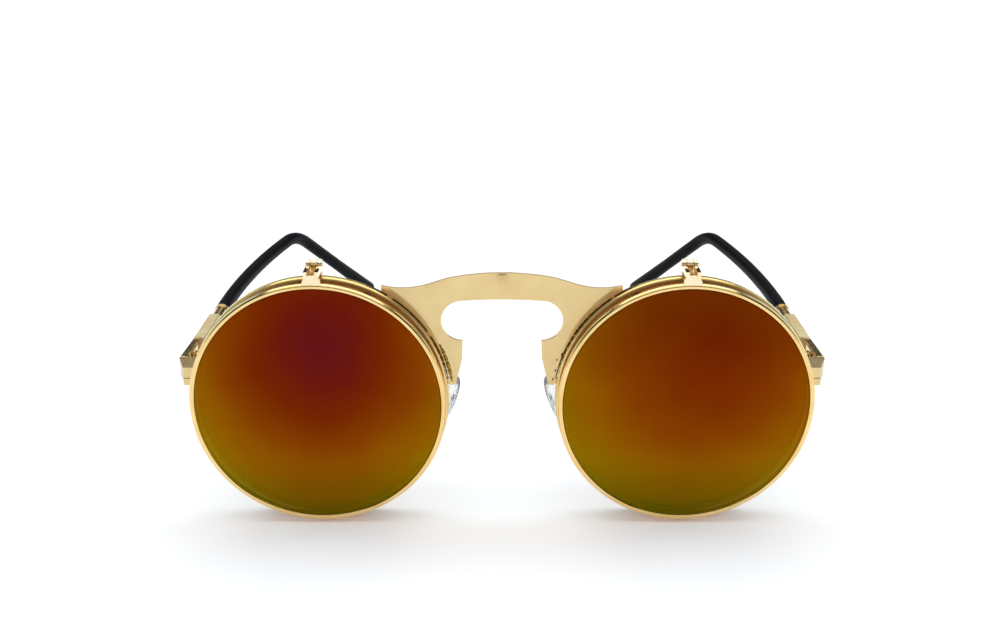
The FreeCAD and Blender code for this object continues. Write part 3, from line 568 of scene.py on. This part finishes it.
STIFFENER_LOOPS = [
    [*arc(0, STIFFENER_HALF, STIFFENER_RADIUS, 0, 180, STIFFENER_STEPS),
     *arc(0, -STIFFENER_HALF, STIFFENER_RADIUS, 180, 360, STIFFENER_STEPS)],
    hole(0, -STIFFENER_HALF, STIFFENER_HOLE),
    hole(0, STIFFENER_HALF, STIFFENER_HOLE),
]
LUG_LOOPS = [
    [(STIFFENER_X, -LUG_RADIUS),
     *arc(PAD_PIN_OUT, 0, LUG_RADIUS, -90, 90, LUG_STEPS),
     (STIFFENER_X, LUG_RADIUS)],
    hole(PAD_PIN_OUT, 0, LUG_HOLE),
]
# From a flat drawing to a plate that lies across the pad's X or Y
ACROSS_X = Matrix(((0, 0, 1, 0), (1, 0, 0, 0), (0, 1, 0, 0), (0, 0, 0, 1)))
ACROSS_Y = Matrix(((1, 0, 0, 0), (0, 0, -1, 0), (0, 1, 0, 0), (0, 0, 0, 1)))

for side in SIDES:
    seat = pad_place(side)
    pad = add_object(f"{side}_silicone_pad", pad_mesh(f"{side}_silicone_pad", side), clear_silicone,
                     f"{side}_pad")
    smooth = pad.modifiers.new("smooth", "SUBSURF")
    smooth.levels = 1
    smooth.render_levels = 2
    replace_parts(pad, f"{side}_nose_pad")
    upright = seat @ Matrix.Translation((STIFFENER_X, 0, 0)) @ ACROSS_X
    plate = flat_plate(f"{side}_pad_plate", STIFFENER_LOOPS, STIFFENER_HALF_THICK, upright)
    add_object(f"{side}_pad_plate", plate, screw_steel, f"{side}_pad")
    lug = flat_plate(f"{side}_pad_lug", LUG_LOOPS, LUG_HALF_THICK, seat @ ACROSS_Y)
    add_object(f"{side}_pad_lug", lug, screw_steel, f"{side}_pad")


# Rims: rounded wire with a groove for the lens, the base rims slit at the temple side

RIM_WALL = 1.1
RIM_INNER_ROUND = 0.25
BASE_ROUND = 0.45
FLIP_ROUND = 0.6
GROOVE_HALF = 0.5
GROOVE_DEPTH = 0.45
SLIT_TURN = math.asin((SLIT_Z - RIM_Z) / RIM_RADIUS)
SLIT_HALF = SLIT_WIDTH / 2 / RIM_RADIUS
RING_TURNS = 192
ROUND_STEPS = 8


def rim_section(outer, half_depth, rounding):
    """A rim's section, as distance from its axis and place along Y, from the outside round the front."""
    inner = outer - RIM_WALL
    front = [*arc(outer - rounding, rounding - half_depth, rounding, 0, -90, ROUND_STEPS),
             *arc(inner + RIM_INNER_ROUND, RIM_INNER_ROUND - half_depth, RIM_INNER_ROUND,
                  -90, -180, ROUND_STEPS),
             (inner, -GROOVE_HALF)]
    back = [(reach, -y) for reach, y in reversed(front)]
    return [*front, (inner + GROOVE_DEPTH, 0.0), *back]


def rim_mesh(name, side, section, middle_y, middle_z, slit):
    """The section swept round the rim's axis, and left open at the slit, if it has one."""
    shell = bmesh.new()
    first = SLIT_TURN + SLIT_HALF if slit else 0.0
    sweep = 2 * math.pi - (2 * SLIT_HALF if slit else 0.0)
    loops = []
    for step in range(RING_TURNS + 1 if slit else RING_TURNS):
        turn = first + sweep * step / RING_TURNS
        across = math.cos(turn)
        up = math.sin(turn)
        loops.append([shell.verts.new((RIM_X + reach * across, middle_y + y, middle_z + reach * up))
                      for reach, y in section])
    if slit:
        lathe_rings(shell, loops)
        shell.faces.new(loops[0])
        shell.faces.new(loops[-1])
    else:
        lathe_rings(shell, [*loops, loops[0]])
    mesh = finished_mesh(name, shell, on_side(side))
    # The two ends at the slit stay flat
    for face in mesh.polygons:
        face.use_smooth = len(face.vertices) == 4
    return mesh


# Each kind of rim's material, outer radius, half depth, outer rounding, and middle along Y and Z
RIMS = {
    "base": (base_gold, RIM_RADIUS, BASE_HALF_DEPTH, BASE_ROUND, FRONT_Y, RIM_Z),
    "flip": (rim_gold, FLIP_RADIUS, FLIP_HALF_DEPTH, FLIP_ROUND, FLIP_Y, FLIP_Z),
}

for side in SIDES:
    for kind, (material, outer, half_depth, rounding, middle_y, middle_z) in RIMS.items():
        name = f"{side}_{kind}_ring"
        body = f"{side}_flip" if kind == "flip" else "front"
        section = rim_section(outer, half_depth, rounding)
        mesh = rim_mesh(name, side, section, middle_y, middle_z, slit=kind == "base")
        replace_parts(add_object(name, mesh, material, body), f"{side}_{kind}_rim")


# Solder where the bridge plate's tabs meet the rims. The long dark beads are partly painted shade: their
# dark colour stands in for the shadow in the gaps between the plate and the rims.

# A bead's side and material, the angles round the rim where it starts and ends, its radius, its distance
# from the rim and how far its middle lies behind the plate's face
# The long dark beads along the plate's edges are painted shadow of the gaps between plate and rims
SOLDER_BEADS = [
    ("left", solder_dark, 112, 173, 0.22, 0.17, 0.25),
    ("left", solder_gold, 154, 172.5, 0.4, 0.95, 0.1),
    ("right", solder_dark, 112, 173, 0.28, 0.24, 0.2),
    ("right", solder_dark, 158.3, 159.7, 0.22, 0.5, 0.0),
    ("right", solder_dark, 161.6, 162.6, 0.14, 1.1, 0.0),
    ("right", solder_dark, 166.4, 167.6, 0.16, 0.7, 0.0),
    ("right", solder_dark, 170.6, 171.8, 0.17, 0.8, 0.0),
]
SOLDER_STEP = 0.3
SOLDER_MIN_STEPS = 6
SOLDER_TURNS = 12
# Lumps along a bead: heights of a slow and a quick wave as shares of its radius, and their turns by step
SLOW_LUMP = 0.28
SLOW_TURN = 2.3
QUICK_LUMP = 0.18
QUICK_TURN = 5.1
# The lower, the blunter a bead's ends
SOLDER_POINT = 0.4
BACKWARDS = Vector((0, 1, 0))


def solder_mesh(name, side, start, end, radius, away, sunk):
    """A lumpy bead along the rim, from one angle to the other."""
    reach = RIM_RADIUS + away
    count = max(SOLDER_MIN_STEPS, round(math.radians(end - start) * reach / SOLDER_STEP))
    shell = bmesh.new()
    rings = []
    for step in range(count + 1):
        turn = math.radians(start + (end - start) * step / count)
        outward = Vector((math.cos(turn), 0, math.sin(turn)))
        middle = Vector((RIM_X, PLATE_FACE_Y + sunk, RIM_Z)) + outward * reach
        slow = SLOW_LUMP * math.sin(step * SLOW_TURN + start)
        quick = QUICK_LUMP * math.sin(step * QUICK_TURN + end)
        taper = math.sin(math.pi * (step + 0.5) / (count + 1)) ** SOLDER_POINT
        size = radius * (1 + slow + quick) * taper
        ring = []
        for point in range(SOLDER_TURNS):
            angle = 2 * math.pi * point / SOLDER_TURNS
            ring.append(shell.verts.new(middle + outward * (size * math.cos(angle))
                                        + BACKWARDS * (size * math.sin(angle))))
        rings.append(ring)
    lathe_rings(shell, rings)
    shell.faces.new(rings[0])
    shell.faces.new(rings[-1])
    return finished_mesh(name, shell, on_side(side))


for index, (side, material, *bead) in enumerate(SOLDER_BEADS):
    name = f"{side}_solder_{index}"
    item = add_object(name, solder_mesh(name, side, *bead), material, "front")
    item.modifiers.new("smooth", "SUBSURF").render_levels = 2


# Camera, as the photograph was taken: 1000 x 624 with its axis a little right of the middle

CAMERA_SPOT = (0.0, FRONT_Y - 229.883, 129.109)
CAMERA_PITCH = 20.038
FOCAL_PIXELS = 1207.1
IMAGE_WIDTH = 1000
SENSOR = 36.0
AXIS_PIXEL = 502.0

lens_data = bpy.data.cameras.new("camera")
lens_data.sensor_fit = "HORIZONTAL"
lens_data.sensor_width = SENSOR
lens_data.lens = FOCAL_PIXELS / IMAGE_WIDTH * SENSOR
lens_data.shift_x = (IMAGE_WIDTH / 2 - AXIS_PIXEL) / IMAGE_WIDTH
lens_data.clip_start = 0.01
lens_data.clip_end = 20
camera = bpy.data.objects.new("camera", lens_data)
camera.location = Vector(CAMERA_SPOT) * MM
camera.rotation_euler = (math.radians(90 - CAMERA_PITCH), 0, 0)
bpy.context.scene.collection.objects.link(camera)
bpy.context.scene.camera = camera


# White table, soft lamps and a white room that darkens overhead in the metal's reflections

FLOOR_HALF = 3.0
FLOOR_COLOUR = (0.88, 0.88, 0.88, 1.0)
# Millimetres between the table and the rims that stand on it, so that their faces don't meet
FLOOR_GAP = 0.02
# What lifts the table to white, as the camera sees it near the object and far off, and in reflections
FLOOR_GLOW_SEEN = 0.12
FLOOR_GLOW_FAR = 1.0
FLOOR_NEAR = 0.3
FLOOR_FAR = 0.9
FLOOR_GLOW_REFLECTED = 0.08


def floor_material():
    """Matte white that keeps the shadow near the object and turns to plain white far off."""
    material = bpy.data.materials.new("white_table")
    material.use_nodes = True
    tree = material.node_tree
    tree.nodes.clear()
    matte = node(tree, "ShaderNodeBsdfDiffuse", {"Color": FLOOR_COLOUR})
    path = node(tree, "ShaderNodeLightPath").outputs
    mirrored = calculate(tree, "MAXIMUM", path["Is Glossy Ray"], path["Is Transmission Ray"])
    place = node(tree, "ShaderNodeTexCoord").outputs["Object"]
    white = remap(tree, distance_from(tree, place), FLOOR_GLOW_SEEN, FLOOR_GLOW_FAR, FLOOR_NEAR, FLOOR_FAR)
    seen = calculate(tree, "MULTIPLY", path["Is Camera Ray"], white)
    reflected = remap(tree, mirrored, 0.0, FLOOR_GLOW_REFLECTED)
    glow = node(tree, "ShaderNodeEmission", {"Strength": calculate(tree, "MAXIMUM", seen, reflected)})
    both = node(tree, "ShaderNodeAddShader", {0: matte.outputs["BSDF"], 1: glow.outputs["Emission"]})
    node(tree, "ShaderNodeOutputMaterial", {"Surface": both.outputs["Shader"]})
    return material


table = bpy.data.meshes.new("table")
square = [(-1, -1), (1, -1), (1, 1), (-1, 1)]
corners = [(x * FLOOR_HALF, y * FLOOR_HALF, -FLOOR_GAP * MM) for x, y in square]
table.from_pydata(corners, [], [(0, 1, 2, 3)])
floor = bpy.data.objects.new("table", table)
bpy.context.scene.collection.objects.link(floor)
paint(floor, floor_material())

OBJECT_MIDDLE = (0, 0, 0.03)
COOL_WHITE = (0.55, 0.78, 1.0)


def lamp(name, spot, size, power, aim=OBJECT_MIDDLE, colour=(1, 1, 1)):
    """A soft rectangular lamp that shines from its spot towards its aim."""
    data = bpy.data.lights.new(name, "AREA")
    data.shape = "RECTANGLE"
    data.size, data.size_y = size
    data.energy = power
    data.color = colour
    item = bpy.data.objects.new(name, data)
    item.location = spot
    item.rotation_euler = (Vector(aim) - Vector(spot)).to_track_quat("-Z", "Y").to_euler()
    bpy.context.scene.collection.objects.link(item)


lamp("overhead", spot=(0.0, 0.1, 1.6), size=(2.4, 1.6), power=27.0, aim=(0, 0.1, 0))
lamp("back", spot=(0.0, 1.8, 1.25), size=(2.4, 0.6), power=7.2)
lamp("front", spot=(0.0, -1.5, 1.35), size=(2.4, 0.7), power=7.0)
for side, way in SIDES.items():
    lamp(f"{side}_side", spot=(way * 0.7, 0.1, 0.35), size=(0.3, 0.6), power=1.4, colour=COOL_WHITE)

ROOM_LIGHT = 0.2
# Brightness in reflections by height, from level to straight up
ROOM_BY_HEIGHT = [(0.0, 1.0), (0.04, 1.0), (0.12, 0.05), (0.6, 0.03), (1.0, 0.3)]


def studio():
    """The room: white to the camera and through glass, graded in reflections, and dim as light."""
    world = bpy.data.worlds.new("studio")
    world.use_nodes = True
    tree = world.node_tree
    tree.nodes.clear()
    path = node(tree, "ShaderNodeLightPath").outputs
    direction = node(tree, "ShaderNodeTexCoord").outputs["Generated"]
    reflected = grey_ramp(tree, height_of(tree, direction), ROOM_BY_HEIGHT)
    light = node(tree, "ShaderNodeBackground", {"Strength": ROOM_LIGHT}).outputs["Background"]
    gloss = node(tree, "ShaderNodeBackground", {"Color": reflected}).outputs["Background"]
    white = node(tree, "ShaderNodeBackground", {"Color": (1, 1, 1, 1)}).outputs["Background"]
    lit = node(tree, "ShaderNodeMixShader", {"Fac": path["Is Glossy Ray"], 1: light, 2: gloss})
    direct = calculate(tree, "MAXIMUM", path["Is Camera Ray"], path["Is Transmission Ray"])
    backdrop = node(tree, "ShaderNodeMixShader", {"Fac": direct, 1: lit.outputs["Shader"], 2: white})
    node(tree, "ShaderNodeOutputWorld", {"Surface": backdrop.outputs["Shader"]})
    return world


bpy.context.scene.world = studio()
bpy.context.scene.view_settings.view_transform = "Standard"
